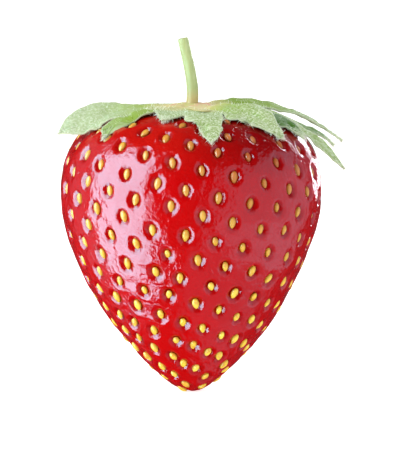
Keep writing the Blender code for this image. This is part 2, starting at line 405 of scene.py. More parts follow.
chance = np.random.default_rng(21)
PITS = []
for arc, bearing in PLACES:
    size = chance.uniform(*PIT_SIZES)
    slant = chance.normal(0, PIT_SLANT)
    deep = pit_depth(arc) * chance.uniform(*PIT_UNEVENNESS)
    PITS.append((arc, bearing, size, slant, deep))
print("deepest pit:", round(max(pit[4] for pit in PITS) / MM, 2), "mm")


# %% Work out how deep each point of the skin lies
def sunken(points):
    """Depth in a pit, height of the swollen flesh, and nearness to an achene, by point."""
    depth = np.zeros(len(points))
    swell = np.ones(len(points))
    near = np.zeros(len(points))
    for arc, bearing, size, slant, deep in PITS:
        middle = np.array(skin_point(arc, bearing))
        across, up, _ = (np.array(axis) for axis in skin_frame(arc, bearing))
        offset = points - middle
        close = (np.abs(offset) < PIT_REACH).all(axis=1)
        offset = offset[close]
        sideways, along = offset @ across, offset @ up
        turned = sideways * math.cos(slant) + along * math.sin(slant)
        along = along * math.cos(slant) - sideways * math.sin(slant)
        reach = np.hypot(turned / PIT_HALF[0], along / PIT_HALF[1]) / size
        far = np.linalg.norm(offset, axis=1)
        bowl = deep * np.exp(-(reach**PIT_WALL))
        lip = LIP_HEIGHT * np.exp(-(((reach - LIP_PLACE) / LIP_WIDTH) ** 2))
        depth[close] += bowl - lip
        swell[close] *= 1 - np.exp(-((far / SWELL_REACH) ** 2))
        near[close] = np.maximum(near[close], np.exp(-(reach**2)))
    return depth, swell, near


points = np.empty(len(skin.data.vertices) * 3)
skin.data.vertices.foreach_get("co", points)
points = points.reshape(-1, 3)
depth, swell, near = sunken(points)
print(f"pits reach {depth.max() / MM:.2f} mm down")
print(f"between them the flesh swells by {swell.mean():.2f} of its most, on average")


# %% Paint the weights and push the skin
def paint(piece, name, weights):
    """Makes a vertex group from a list of weights between 0 and 1."""
    group = piece.vertex_groups.new(name=name)
    for index in np.flatnonzero(weights > 0.001):
        group.add([int(index)], float(weights[index]), "REPLACE")


def number_attribute(piece, name, values):
    made = piece.data.attributes.new(name, "FLOAT", "POINT")
    made.data.foreach_set("value", np.asarray(values, np.float32))


MOST_DEPTH = 0.7 * MM  # a pit of this depth has weight 1
GROWTH = {"uneven growth": (9 * MM, 0.6 * MM), "bulges": (3.2 * MM, 0.22 * MM)}  # size, height
paint(skin, "pits", np.clip((depth + LIP_HEIGHT) / MOST_DEPTH, 0, 1))
paint(skin, "swelling", swell)
number_attribute(skin, "near_achene", near)
add_modifier(skin, "DISPLACE", vertex_group="pits", strength=-MOST_DEPTH, mid_level=0)
add_modifier(skin, "DISPLACE", vertex_group="swelling", strength=SWELL_HEIGHT, mid_level=0)
for name, (size, height) in GROWTH.items():
    clouds = bpy.data.textures.new(name, "CLOUDS")
    clouds.noise_scale = size
    clouds.noise_depth = 1
    push = add_modifier(skin, "DISPLACE", texture=clouds, strength=height, mid_level=0.5)
    push.texture_coords = "LOCAL"
apply_all(skin)
skin.vertex_groups.clear()
bpy.ops.object.shade_smooth()

# %% [markdown]
# ## Strawberry skin
# The skin is a thin, moist, waxy film over watery flesh. Light goes a millimetre or so
# into the flesh and comes out red, which is subsurface scattering, and the film mirrors
# the lights. Round each achene the red is deeper, partly the flesh's own colour and partly
# painted shade in the pit. The shoulder carries a painted orange glow on the left and
# painted shade on the right, and the flesh is painted darker towards the right. A fine
# unevenness, about as large as the skin's cells are in groups, breaks the edges of the
# reflections.

# %% Skin material
SKIN_GRAIN = 0.45 * MM
SKIN_LUMPS = 2.2 * MM
BLOTCH_SIZE = 7 * MM
flesh, flesh_shader = new_material("moist strawberry skin")
where = add_node(flesh, "TexCoord")
near_achene = add_node(flesh, "Attribute", attribute_name="near_achene")
blotches = add_node(flesh, "TexNoise", {
    "Vector": where.outputs["Object"], "Scale": 1 / BLOTCH_SIZE, "Detail": 3.0})
red = add_node(flesh, "MixRGB", {
    "Fac": blotches.outputs["Fac"], "Color1": colour("a60001"), "Color2": colour("b60001")})
place = add_node(flesh, "SeparateXYZ", {"Vector": where.outputs["Object"]})
shoulder = add_node(flesh, "MapRange", {
    "Value": place.outputs["Z"], "From Min": 31 * MM, "From Max": 37.5 * MM})
# Left to right across the berry, for painted shade on the side away from the key light
side = add_node(flesh, "MapRange", {
    "Value": place.outputs["X"], "From Min": -3 * MM, "From Max": 9 * MM})
# Painted light and shade on the shoulder under the calyx: a painted orange glow on the lit left, and
# painted shade, a dark red, on the right
shoulder_painted_glow_and_shade = add_node(flesh, "MixRGB", {
    "Fac": side.outputs["Result"], "Color1": colour("b41006"), "Color2": colour("6a0002")})
# Painted shade: below the shoulder the red is painted darker towards the right
red_painted_shade_right = add_node(flesh, "MixRGB", {
    "Fac": side.outputs["Result"], "Color1": red.outputs[0], "Color2": colour("a20002")})
# Towards the top, the painted shoulder glow and shade take over
red_painted_light_and_shade = add_node(flesh, "MixRGB", {
    "Fac": shoulder.outputs["Result"], "Color1": red_painted_shade_right.outputs[0], "Color2": shoulder_painted_glow_and_shade.outputs[0]})
# Painted shade in the pits: the red round each achene is painted deeper, partly the flesh's own colour
# there and partly the shade of the recess
pit_red_and_painted_shade = add_node(flesh, "MixRGB", {
    "Fac": near_achene.outputs["Fac"], "Color1": red_painted_light_and_shade.outputs[0], "Color2": colour("860002")})
fine = add_node(flesh, "TexNoise", {
    "Vector": where.outputs["Object"], "Scale": 1 / SKIN_GRAIN, "Detail": 2.0})
lumps = add_node(flesh, "TexNoise", {
    "Vector": where.outputs["Object"], "Scale": 1 / SKIN_LUMPS, "Detail": 1.0})
fine_bump = add_node(flesh, "Bump", {
    "Height": fine.outputs["Fac"], "Strength": 0.7, "Distance": 0.12 * MM})
bump = add_node(flesh, "Bump", {
    "Height": lumps.outputs["Fac"], "Strength": 0.5, "Distance": 0.4 * MM,
    "Normal": fine_bump.outputs["Normal"]})
links = flesh.node_tree.links
links.new(pit_red_and_painted_shade.outputs[0], flesh_shader.inputs["Base Color"])
links.new(bump.outputs["Normal"], flesh_shader.inputs["Normal"])
# The moist film is nearly a mirror, and red light comes back out of the flesh under it
flesh_shader.inputs["Roughness"].default_value = 0.12
flesh_shader.inputs["IOR"].default_value = 1.42
flesh_shader.inputs["Subsurface Weight"].default_value = 0.35
flesh_shader.inputs["Subsurface Radius"].default_value = (1.0, 0.08, 0.05)
flesh_shader.inputs["Subsurface Scale"].default_value = 1.6 * MM
skin.data.materials.clear()
skin.data.materials.append(flesh)
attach(skin, "root")
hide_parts("berry")
print("skin material:", flesh.name)

# %% [markdown]
# ## One achene, copied to every pit
# An achene is a dry little fruit, a flattened teardrop 1.5 mm long, whose point is
# towards the berry's tip. It starts as a sphere of few faces, which is flattened, drawn
# to a point and copied. Each copy gets its own size, lean and shade.

# %% Model one achene
ACHENE_HALF = (0.46 * MM, 0.77 * MM, 0.36 * MM)  # across, along and out of the skin


def one_achene():
    bpy.ops.object.select_all(action="DESELECT")
    bpy.ops.mesh.primitive_uv_sphere_add(
        segments=10, ring_count=6, radius=1, rotation=(math.pi / 2, 0, 0))
    seed = bpy.context.object
    seed.name = "achene"
    bpy.ops.object.transform_apply(location=False, rotation=True, scale=False)
    # The end towards the tip is drawn in to a point, in two steps
    pick(seed, lambda spot: spot.y < -0.3)
    bpy.ops.transform.resize(value=(0.9, 1.0, 0.9), center_override=(0, 0, 0))
    pick(seed, lambda spot: spot.y < -0.65)
    bpy.ops.transform.resize(value=(0.8, 1.05, 0.85), center_override=(0, 0, 0))
    bpy.ops.mesh.select_all(action="SELECT")
    bpy.ops.transform.resize(value=ACHENE_HALF, center_override=(0, 0, 0))
    bpy.ops.object.mode_set(mode="OBJECT")
    bpy.ops.object.shade_smooth()
    return seed


seed = one_achene()
print("achene:", len(seed.data.polygons), "faces")
print("its size in mm:", [round(x / MM, 2) for x in seed.dimensions])

# %% Put one in each pit
SEAT = 0.1 * MM  # how far an achene's middle stands above its pit's floor
ACHENE_TILT = 0.12  # radians, as a standard deviation
ACHENE_SIZES = (0.92, 1.06)
chance = np.random.default_rng(5)
copies = []
for arc, bearing, size, slant, deep in PITS:
    across, up, out = skin_frame(arc, bearing)
    turn = Matrix((across, up, out)).transposed() @ Matrix.Rotation(slant, 3, "Z")
    turn = turn @ Matrix.Rotation(chance.normal(0, ACHENE_TILT), 3, "X")
    turn = turn @ Matrix.Rotation(chance.normal(0, ACHENE_TILT), 3, "Y")
    middle = skin_point(arc, bearing) - out * (deep - SEAT)
    copy = seed.copy()
    copy.data = seed.data.copy()
    grown = size * chance.uniform(*ACHENE_SIZES)
    copy.data.transform(Matrix.Translation(middle) @ turn.to_4x4() @ Matrix.Scale(grown, 4))
    number_attribute(copy, "shade", np.full(len(copy.data.vertices), chance.uniform(0, 1)))
    bpy.context.scene.collection.objects.link(copy)
    copies.append(copy)
bpy.data.objects.remove(seed)
bpy.ops.object.select_all(action="DESELECT")
for copy in copies:
    copy.select_set(True)
bpy.context.view_layer.objects.active = copies[0]
bpy.ops.object.join()
achenes = bpy.context.object
achenes.name = "achenes"
print(f"achenes: {len(copies)} in one piece of {len(achenes.data.polygons)} faces")

# %% Achene material
HUSK_STAIN = 0.7 * MM
husk, husk_shader = new_material("dry achene husk")
shade = add_node(husk, "Attribute", attribute_name="shade")
where = add_node(husk, "TexCoord")
place = add_node(husk, "SeparateXYZ", {"Vector": where.outputs["Object"]})
# Yellow low down and tan higher up, with painted shade on the right: the achenes there are painted brown,
# on the side away from the key light
up_the_berry = add_node(husk, "MapRange", {
    "Value": place.outputs["Z"], "From Min": 12 * MM, "From Max": 34 * MM})
yellow = add_node(husk, "MixRGB", {
    "Fac": shade.outputs["Fac"], "Color1": colour("e2c034"), "Color2": colour("ecd650")})
side = add_node(husk, "MapRange", {
    "Value": place.outputs["X"], "From Min": -10 * MM, "From Max": 6 * MM})
# Painted shade: achenes are painted browner towards the right, away from the key light
tan_with_painted_shade_right = add_node(husk, "MixRGB", {
    "Fac": side.outputs["Result"], "Color1": colour("dcae3e"), "Color2": colour("b05c28")})
husk_colour = add_node(husk, "MixRGB", {
    "Fac": up_the_berry.outputs["Result"], "Color1": yellow.outputs[0], "Color2": tan_with_painted_shade_right.outputs[0]})
stains = add_node(husk, "TexNoise", {
    "Vector": where.outputs["Object"], "Scale": 1 / HUSK_STAIN, "Detail": 2.0})
stained = add_node(husk, "MapRange", {
    "Value": stains.outputs["Fac"], "From Min": 0.48, "From Max": 0.68, "To Max": 0.55})
husk_stained = add_node(husk, "MixRGB", {
    "Fac": stained.outputs["Result"], "Color1": husk_colour.outputs[0], "Color2": colour("c07830")})
links = husk.node_tree.links
links.new(husk_stained.outputs[0], husk_shader.inputs["Base Color"])
# A dry, smooth husk gives one soft highlight, and its thin edges let some light through
husk_shader.inputs["Roughness"].default_value = 0.32
husk_shader.inputs["IOR"].default_value = 1.45
husk_shader.inputs["Subsurface Weight"].default_value = 0.2
husk_shader.inputs["Subsurface Radius"].default_value = (1.0, 0.5, 0.2)
husk_shader.inputs["Subsurface Scale"].default_value = 0.4 * MM
achenes.data.materials.clear()
achenes.data.materials.append(husk)
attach(achenes, "root")
print("achene material:", husk.name)

# %% [markdown]
# ## The calyx
# Twelve leaves grow from the disc: five broad sepals and, between them, narrower
# bractlets. Each is modelled flat, where its outline is easy to shape, and then laid
# along its own midrib with a Curve modifier. The midribs are read off the plain leaves
# in the frame, so every leaf lies where it should.


# %% Read a midrib
ROOT_RADIUS = 1.5 * MM  # how near the core a leaf starts, inside the disc
ROOT_DROP = 0.45 * MM  # how much lower a leaf's root lies than in the frame
ROOT_SLICE = 0.4 * MM  # what counts as a plain leaf's root
TIP_SLICE = 0.96  # and as its tip, as a share of its length
MIDRIB_SHARES = (0.2, 0.4, 0.6, 0.8)
MIDRIB_SLICE = 0.07


def midrib(node, sag, end):
    """Points along the middle of a plain leaf, from inside the disc to its tip. It sags
    halfway along, and its tip is moved by the end vector, both in mm."""
    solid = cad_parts[node]
    spots = np.array([solid.matrix_world @ vertex.co for vertex in solid.data.vertices])
    level = np.hypot(spots[:, 0], spots[:, 1])
    root = spots[level < level.min() + ROOT_SLICE].mean(axis=0)
    reach = np.linalg.norm(spots - root, axis=1)
    shares = reach / reach.max()
    near = [np.abs(shares - share) < MIDRIB_SLICE for share in MIDRIB_SHARES]
    line = [spots[chosen].mean(axis=0) for chosen in near]
    inside = root * (ROOT_RADIUS / math.hypot(root[0], root[1]))
    inside[2] = root[2] - ROOT_DROP
    line = [root, *line, spots[shares > TIP_SLICE].mean(axis=0)]
    for share, spot in zip(np.linspace(0, 1, len(line)), line):
        spot[2] -= sag * MM * math.sin(math.pi * share) + ROOT_DROP * (1 - share) ** 2
        spot += np.array(end) * MM * share**2
    return [Vector(spot) for spot in (inside, *line)]


LEAF_NODES = [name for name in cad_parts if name.startswith(("sepal", "bractlet"))]
print(len(LEAF_NODES), "leaves:", ", ".join(sorted(LEAF_NODES)))


# %% Turn a midrib into a curve
def midrib_curve(node, tilts, sag, end):
    bpy.ops.object.select_all(action="DESELECT")
    bpy.ops.curve.primitive_bezier_curve_add(location=(0, 0, 0))
    path = bpy.context.object
    spots = midrib(node, sag, end)
    line = path.data.splines[0]
    line.bezier_points.add(len(spots) - 2)
    for point, spot, tilt in zip(line.bezier_points, spots, np.linspace(*tilts, len(spots))):
        point.co = spot
        point.handle_left_type = point.handle_right_type = "AUTO"
        point.tilt = math.radians(tilt)
    path.data.resolution_u = 16
    path.data.twist_mode = "Z_UP"
    return path


# %% Extrude a flat leaf
LEAF_ROWS = 26
LEAF_COLUMNS = 10
TIP_START = 0.9  # where along a leaf its tip starts to round off
TIP_BLUNTNESS = 0.99  # 1 would close the tip to a point
TAPER_POWER = 0.85  # lower is fuller


def leaf_width(share, widest, root, power, tip):
    """A leaf's width as a share of its widest."""
    if share < widest:
        return root + (1 - root) * (1 - math.cos(math.pi * share / widest)) / 2
    taper = (1 - ((share - widest) / (1 - widest)) ** power) ** TAPER_POWER
    beyond = max(0, (share - TIP_START) / (1 - TIP_START))
    rounded = math.sqrt(1 - TIP_BLUNTNESS * beyond**2)
    return (tip + (1 - tip) * taper) * rounded


def flat_leaf(name, length, width, *shape):
    """A row of points extruded row by row along +X, each resized to the leaf's width."""
    bpy.ops.object.select_all(action="DESELECT")
    bpy.ops.mesh.primitive_plane_add(size=MM)
    leaf = bpy.context.object
    leaf.name = name
    bpy.ops.object.mode_set(mode="EDIT")
    bpy.ops.mesh.select_all(action="SELECT")
    bpy.ops.mesh.merge(type="CENTER")
    across = width * leaf_width(0, *shape)
    bpy.ops.transform.translate(value=(0, -across / 2, 0))
    for _ in range(LEAF_COLUMNS):
        move = {"value": (0, across / LEAF_COLUMNS, 0)}
        bpy.ops.mesh.extrude_vertices_move(TRANSFORM_OT_translate=move)
    bpy.ops.mesh.select_all(action="SELECT")
    for row in range(1, LEAF_ROWS + 1):
        before, after = across, width * leaf_width(row / LEAF_ROWS, *shape)
        move = {"value": (length / LEAF_ROWS, 0, 0)}
        bpy.ops.mesh.extrude_region_move(TRANSFORM_OT_translate=move)
        bpy.ops.transform.resize(value=(1, after / before, 1))
        across = after
    bpy.ops.mesh.select_all(action="SELECT")
    bpy.ops.mesh.normals_make_consistent(inside=False)
    bpy.ops.object.mode_set(mode="OBJECT")
    return leaf


print("width of a leaf halfway along:", round(leaf_width(0.5, 0.4, 0.5, 1.5, 0.1), 2))


# %% Shape and lay a leaf
LEAF_THICKNESS = 0.22 * MM
LEAF_CLEARANCE = 0.5 * MM  # the least that is left between a leaf and the skin
GROOVE_WIDTH, GROOVE_DEPTH = 0.4 * MM, 0.25 * MM  # along the midrib
WRINKLE_HEIGHT = 0.55 * MM
DOWN_FADE = 0.4  # the share of a leaf over which its down thickens
# A dark leaf's deep green is partly its own bare green and partly painted shade
TINT_FADE = 0.12  # the share at its tip over which a dark leaf lightens
wrinkles = bpy.data.textures.new("leaf wrinkles", "CLOUDS")
wrinkles.noise_scale = 2.2 * MM
wrinkles.noise_depth = 2


def lay_leaf(node, width, widest, root, power, tip, cup, tilts, tint, bare, sag, end):
    shape = widest, root, power, tip
    path = midrib_curve(node, tilts, sag, end)
    length = path.data.splines[0].calc_length()
    leaf = flat_leaf(f"{node}_leaf", length, width * MM, *shape)
    spots = np.array([vertex.co for vertex in leaf.data.vertices])
    if leaf.data.polygons[0].normal.z < 0:
        leaf.data.flip_normals()
    share = spots[:, 0] / length
    half = np.array([width * MM / 2 * leaf_width(min(x, 1), *shape) for x in share])
    aside = spots[:, 1] / half
    fading = np.clip((1 - share) / TINT_FADE, 0, 1)
    downiness = np.clip((share - bare + DOWN_FADE / 2) / DOWN_FADE, 0, 1)
    number_attribute(leaf, "share", share)
    number_attribute(leaf, "along", spots[:, 0])
    number_attribute(leaf, "aside", spots[:, 1])
    number_attribute(leaf, "edge", np.abs(aside))
    number_attribute(leaf, "downiness", downiness)
    number_attribute(leaf, "whiteness", max(-tint, 0) * share)
    # How much deep green a leaf gets, partly its own colour and partly painted shade, fading at its tip
    number_attribute(leaf, "tint", max(tint, 0) * fading)
    paint(leaf, "cup", aside**2 * np.minimum(1, 3 * half / (width * MM)))
    paint(leaf, "groove", np.exp(-((spots[:, 1] / GROOVE_WIDTH) ** 2)))
    for group, drop in (("cup", cup * MM), ("groove", GROOVE_DEPTH)):
        push = add_modifier(leaf, "DISPLACE", vertex_group=group, strength=-drop, mid_level=0)
        push.direction = "Z"
    add_modifier(leaf, "SUBSURF", levels=2, render_levels=2)
    add_modifier(leaf, "DISPLACE", texture=wrinkles, strength=WRINKLE_HEIGHT, mid_level=0.5,
                 texture_coords="LOCAL", direction="Z")
    add_modifier(leaf, "CURVE", object=path, deform_axis="POS_X")
    add_modifier(leaf, "SHRINKWRAP", target=skin, wrap_mode="OUTSIDE", offset=LEAF_CLEARANCE)
    add_modifier(leaf, "SOLIDIFY", thickness=LEAF_THICKNESS, offset=0)
    leaf.modifiers["solidify"].material_offset = 1
    leaf.data.materials.clear()
    leaf.data.materials.append(leaf_top)
    leaf.data.materials.append(leaf_under)
    apply_all(leaf)
    leaf.vertex_groups.clear()
    bpy.ops.object.shade_smooth()
    bpy.data.objects.remove(path)
    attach(leaf, "root")
    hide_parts(node)
    return leaf


# %% [markdown]
# ## Leaf finish
# A calyx leaf is covered in fine white down. Seen from afar the down turns the green
# into a pale sage, most of all where the leaf is seen edge on, which is what a
# shader's sheen does. The side towards the berry has less down and is a brighter
# green. At its root a leaf fades to the cream of the disc.

# %% Leaf materials
VEIN_SIZE, VEIN_STRETCH = 0.4 * MM, 0.12  # across a vein, and along it in proportion
MOTTLE_SIZE = 0.32 * MM  # of the tufts of down


def leaf_material(name, greens, sheen):
    made, shader = new_material(name)
    along = add_node(made, "Attribute", attribute_name="along")
    aside = add_node(made, "Attribute", attribute_name="aside")
    flat = add_node(made, "CombineXYZ", {"X": along.outputs["Fac"], "Y": aside.outputs["Fac"]})
    tint = add_node(made, "Attribute", attribute_name="tint")
    edge = add_node(made, "Attribute", attribute_name="edge")
    downiness = add_node(made, "Attribute", attribute_name="downiness")
    whiteness = add_node(made, "Attribute", attribute_name="whiteness")
    green = add_node(made, "MixRGB", {
        "Fac": downiness.outputs["Fac"], "Color1": colour(greens[0]), "Color2": colour(greens[1])})
    stretched = add_node(made, "Mapping", {"Vector": flat.outputs[0], "Scale": (VEIN_STRETCH, 1, 1)})
    veins = add_node(made, "TexNoise", {
        "Vector": stretched.outputs[0], "Scale": 1 / VEIN_SIZE, "Detail": 3.0})
    mottle = add_node(made, "TexNoise", {
        "Vector": flat.outputs[0], "Scale": 1 / MOTTLE_SIZE, "Detail": 3.0})
    vein_light = add_node(made, "MapRange", {
        "Value": veins.outputs["Fac"], "From Min": 0.35, "From Max": 0.75, "To Max": 0.6})
    vein_share = add_node(made, "Math", {
        0: vein_light.outputs[0], 1: downiness.outputs["Fac"]}, operation="MULTIPLY")
    veined = add_node(made, "MixRGB", {
        "Fac": vein_share.outputs[0], "Color1": green.outputs[0], "Color2": colour("b6c79a")})
    specks = add_node(made, "MapRange", {
        "Value": mottle.outputs["Fac"], "From Min": 0.46, "From Max": 0.6, "To Max": 0.75})
    speck_share = add_node(made, "Math", {
        0: specks.outputs[0], 1: downiness.outputs["Fac"]}, operation="MULTIPLY")
    downy = add_node(made, "MixRGB", {
        "Fac": speck_share.outputs[0], "Color1": veined.outputs[0], "Color2": colour("ccd8bc")})
    whitened = add_node(made, "MixRGB", {
        "Fac": whiteness.outputs["Fac"], "Color1": downy.outputs[0], "Color2": colour("b6c4a8")})
    # Painted shade: a deep green, partly the bare leaf's own colour and partly painted shade on leaves that
    # lie in shadow
    shaded = add_node(made, "MixRGB", {
        "Fac": tint.outputs["Fac"], "Color1": whitened.outputs[0], "Color2": colour("446e1c")})
    rim = add_node(made, "MapRange", {
        "Value": edge.outputs["Fac"], "From Min": 0.85, "From Max": 1.0, "To Max": 0.6})
    edged = add_node(made, "MixRGB", {
        "Fac": rim.outputs[0], "Color1": shaded.outputs[0], "Color2": colour("c6d2b4")})
    near_disc = add_node(made, "MapRange", {
        "Value": along.outputs["Fac"], "From Min": 5.5 * MM, "From Max": 1.8 * MM})
    rooted = add_node(made, "MixRGB", {
        "Fac": near_disc.outputs[0], "Color1": edged.outputs[0], "Color2": colour("c9bd84")})
    bump = add_node(made, "Bump", {
        "Height": veins.outputs["Fac"], "Strength": 0.5, "Distance": 0.08 * MM})
    fuzz = add_node(made, "Bump", {
        "Height": mottle.outputs["Fac"], "Strength": 0.5, "Distance": 0.05 * MM,
        "Normal": bump.outputs[0]})
    made.node_tree.links.new(rooted.outputs[0], shader.inputs["Base Color"])
    made.node_tree.links.new(fuzz.outputs[0], shader.inputs["Normal"])
    # Down scatters the light: no highlight, and a pale sheen where a leaf is seen edge on
    shader.inputs["Roughness"].default_value = 0.65
    shader.inputs["Specular IOR Level"].default_value = 0.12
    shader.inputs["Sheen Weight"].default_value = sheen
    shader.inputs["Sheen Roughness"].default_value = 0.4
    return made


leaf_top = leaf_material("downy leaf upper side", ("8ea834", "7c9848"), 0.1)
leaf_under = leaf_material("leaf side towards the berry", ("6c9a20", "5f8f22"), 0.05)
print("leaf materials:", leaf_top.name, "and", leaf_under.name)

# %% All twelve leaves
# Each leaf's width in mm, where along it that is reached, its root's width as a share of
# it, how full its sides are, its tip's width as a share, how far its sides hang in mm, its
# tilts at the root and the tip in degrees, how deep its green is, partly its own colour and
# partly painted shade (below 0: how white towards its tip), where along it the down begins,
# its sag in mm, and how far its tip is moved in mm
LEAVES = {
    "sepal_left": (6.8, 0.6, 0.3, 1.5, 0.05, 0.5, (0, -42), -0.6, 0.5, 1.1, (0.3, 0, -0.6)),
    "bractlet_back_left": (4.0, 0.4, 0.5, 1.6, 0.1, 0.3, (0, 0), 0.4, 0.4, 1.3, (0.1, 0, -0.3)),
    "sepal_back_left": (6.4, 0.4, 0.5, 1.6, 0.1, 0.5, (0, 0), 0.3, 0.4, 1.5, (0, 0, 0)),
    "sepal_back_right": (6.6, 0.4, 0.5, 1.6, 0.1, 0.5, (0, 0), 0.0, 0.75, 0, (0, 0, 0)),
    "sepal_right_high": (4.8, 0.35, 0.5, 1.4, 0.1, 0.5, (14, 4), 0.4, 0.6, 0.7, (1.7, 0, -1.6)),
    "bractlet_right_middle": (3.4, 0.4, 0.5, 1.5, 0.1, 0.4, (0, 20), 0.7, 0.4, 0.6, (-0.1, 0, -0.4)),
    "bractlet_right_low": (3.1, 0.6, 0.5, 1.7, 0.1, 0.4, (0, 30), 0.1, 0.4, 1.3, (-0.3, 0, -1.1)),
    "bractlet_right_short": (4.8, 0.6, 0.5, 2.2, 0.3, 0.4, (0, 30), 1.0, 0.7, 0.3, (0, -0.4, -1.0)),
    "sepal_front_right": (6.2, 0.55, 0.4, 2.0, 0.1, 0.6, (0, 34), 0.0, 0.4, 0.0, (0.9, 0, -1.5)),
    "sepal_front": (8.6, 0.22, 0.4, 0.6, 0.18, 0.5, (0, 0), 0.0, 0.3, 0.4, (-0.4, -0.9, -1.0)),
    "sepal_front_left": (10.0, 0.25, 0.3, 0.8, 0.05, 0.3, (0, 0), 0.0, 0.3, 0.2, (-0.4, -1.5, -2.7)),
    "bractlet_front_left": (3.9, 0.68, 0.35, 2.4, 0.3, 0.3, (25, -60), 0.15, 0.85, 0.5, (-0.2, -0.3, -1.7)),
}
LAID = {node: lay_leaf(node, *measures) for node, measures in LEAVES.items()}

# %% [markdown]
# ## The disc
# The leaves and the stalk meet in a small fleshy disc, cream with a touch of pink. It is
# a ball pressed flat, with a soft unevenness like the rest of the plant.

# %% Disc
DISC_HALF = Vector((3.5 * MM, 3.5 * MM, 0.85 * MM))
DISC_DROP = Vector((0, 0, 0.6 * MM))  # how much lower it sits than in the frame
DISC_UNEVENNESS = 0.5 * MM
BLUSH_SIZE = 1.3 * MM  # of the pink spots
DISC_LOW, DISC_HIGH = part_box("calyx_disc")
disc_middle = (DISC_LOW + DISC_HIGH) / 2
bpy.ops.object.select_all(action="DESELECT")
bpy.ops.mesh.primitive_uv_sphere_add(segments=64, ring_count=32, radius=1)
disc = bpy.context.object
disc.name = "disc"
bpy.ops.object.mode_set(mode="EDIT")
bpy.ops.transform.resize(value=DISC_HALF)
bpy.ops.transform.translate(value=disc_middle - DISC_DROP)
bpy.ops.object.mode_set(mode="OBJECT")
add_modifier(disc, "DISPLACE", texture=wrinkles, strength=DISC_UNEVENNESS, mid_level=0.5,
             texture_coords="LOCAL")
apply_all(disc)
bpy.ops.object.shade_smooth()
cream, cream_shader = new_material("fleshy disc")
where = add_node(cream, "TexCoord")
spread = add_node(cream, "TexNoise", {
    "Vector": where.outputs["Object"], "Scale": 1 / BLUSH_SIZE, "Detail": 2.0})
pinkness = add_node(cream, "MapRange", {
    "Value": spread.outputs["Fac"], "From Min": 0.4, "From Max": 0.65})
flushed = add_node(cream, "MixRGB", {
    "Fac": pinkness.outputs[0], "Color1": colour("c4c47c"), "Color2": colour("d69a84")})
cream.node_tree.links.new(flushed.outputs[0], cream_shader.inputs["Base Color"])
# Pale flesh with no film on it: a dull surface, with light spreading under it
cream_shader.inputs["Roughness"].default_value = 0.55
cream_shader.inputs["Subsurface Weight"].default_value = 0.3
cream_shader.inputs["Subsurface Radius"].default_value = (1.0, 0.6, 0.3)
cream_shader.inputs["Subsurface Scale"].default_value = 0.6 * MM
disc.data.materials.clear()
disc.data.materials.append(cream)
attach(disc, "root")
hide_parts("calyx_disc")

# %% [markdown]
# ## The stalk
# The stalk is a soft green bar with shallow ribs, wider at its foot and at its cut end,
# and hollowed a little where the pith has dried. A ring of points is extruded along the
# middle line of the plain stalk and resized at each step, and the cut end is turned once.

# %% Read the stalk's middle line
STALK_STATIONS = (0.0, 0.25, 0.5, 0.75, 1.0)
STATION_SLICE = 0.12
FOOT_DEPTH = 0.9 * MM  # how far the stalk reaches down into the disc


def stalk_line(stations):
    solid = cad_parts["stalk"]
    spots = np.array([solid.matrix_world @ vertex.co for vertex in solid.data.vertices])
    low, high = spots[:, 2].min(), spots[:, 2].max()
    shares = (spots[:, 2] - low) / (high - low)
    near = [np.abs(shares - share) < STATION_SLICE for share in STALK_STATIONS]
    centres = np.array([spots[chosen].mean(axis=0) for chosen in near])
    heights = np.array([low, *centres[1:-1, 2], high])
    steps = np.linspace(low - FOOT_DEPTH, high, stations)
    curve = [np.polyval(np.polyfit(heights, centres[:, axis], 3), steps) for axis in (0, 1)]
    return [Vector(spot) for spot in zip(*curve, steps)]


STALK = stalk_line(30)
print("stalk leans", round((STALK[0] - STALK[-1]).x / MM, 1), "mm to the left")

# %% Extrude the stalk
STALK_SIDES = 28
STALK_RADIUS = 0.73 * MM
FOOT_FLARE = 0.18  # how much wider it is at its foot, as a share of its radius
END_FLARE, END_REACH = 0.05, 0.07  # the same at its cut end, and how far that reaches
CUT_NARROWING = 0.88
CUT_RIM, CUT_RISE = 0.14 * MM, 0.1 * MM  # the soft edge round the cut
CUT_HOLLOW = 0.22 * MM  # how far in from there the dried pith starts
RIBS, RIB_DEPTH = 5, 0.05 * MM


def stalk_radius(share):
    end = math.exp(-(((1 - share) / END_REACH) ** 2))
    flare = FOOT_FLARE * (1 - share) + END_FLARE * end
    return STALK_RADIUS * (1 + flare)


bpy.ops.object.select_all(action="DESELECT")
bpy.ops.mesh.primitive_circle_add(
    vertices=STALK_SIDES, radius=stalk_radius(0), fill_type="NGON", location=STALK[0])
stalk = bpy.context.object
stalk.name = "green_stalk"
bpy.ops.object.transform_apply(location=True, rotation=False, scale=False)
bpy.ops.object.mode_set(mode="EDIT")
bpy.ops.mesh.select_all(action="SELECT")
for step, (below, above) in enumerate(zip(STALK, STALK[1:])):
    move = {"value": above - below}
    bpy.ops.mesh.extrude_region_move(TRANSFORM_OT_translate=move)
    ratio = stalk_radius((step + 1) / (len(STALK) - 1)) / stalk_radius(step / (len(STALK) - 1))
    bpy.ops.transform.resize(value=(ratio, ratio, 1), center_override=above)
lean = math.atan2((STALK[-1] - STALK[-2]).x, (STALK[-1] - STALK[-2]).z)
bpy.ops.transform.rotate(value=-lean, orient_axis="Y", center_override=STALK[-1])
bpy.ops.transform.resize(
    value=(CUT_NARROWING, CUT_NARROWING, 1), center_override=STALK[-1])
bpy.ops.mesh.inset(thickness=CUT_RIM)
bpy.ops.transform.translate(value=(0, 0, CUT_RISE))
bpy.ops.mesh.inset(thickness=CUT_HOLLOW)
bpy.ops.transform.translate(value=(0, 0, -CUT_RISE))
bpy.ops.mesh.select_all(action="SELECT")
bpy.ops.mesh.normals_make_consistent(inside=False)
bpy.ops.object.mode_set(mode="OBJECT")
places = [vertex.co for vertex in stalk.data.vertices]
turns = [math.atan2(place.y, place.x - STALK[0].x) for place in places]
ribs = [0.5 + 0.5 * math.cos(RIBS * turn) for turn in turns]
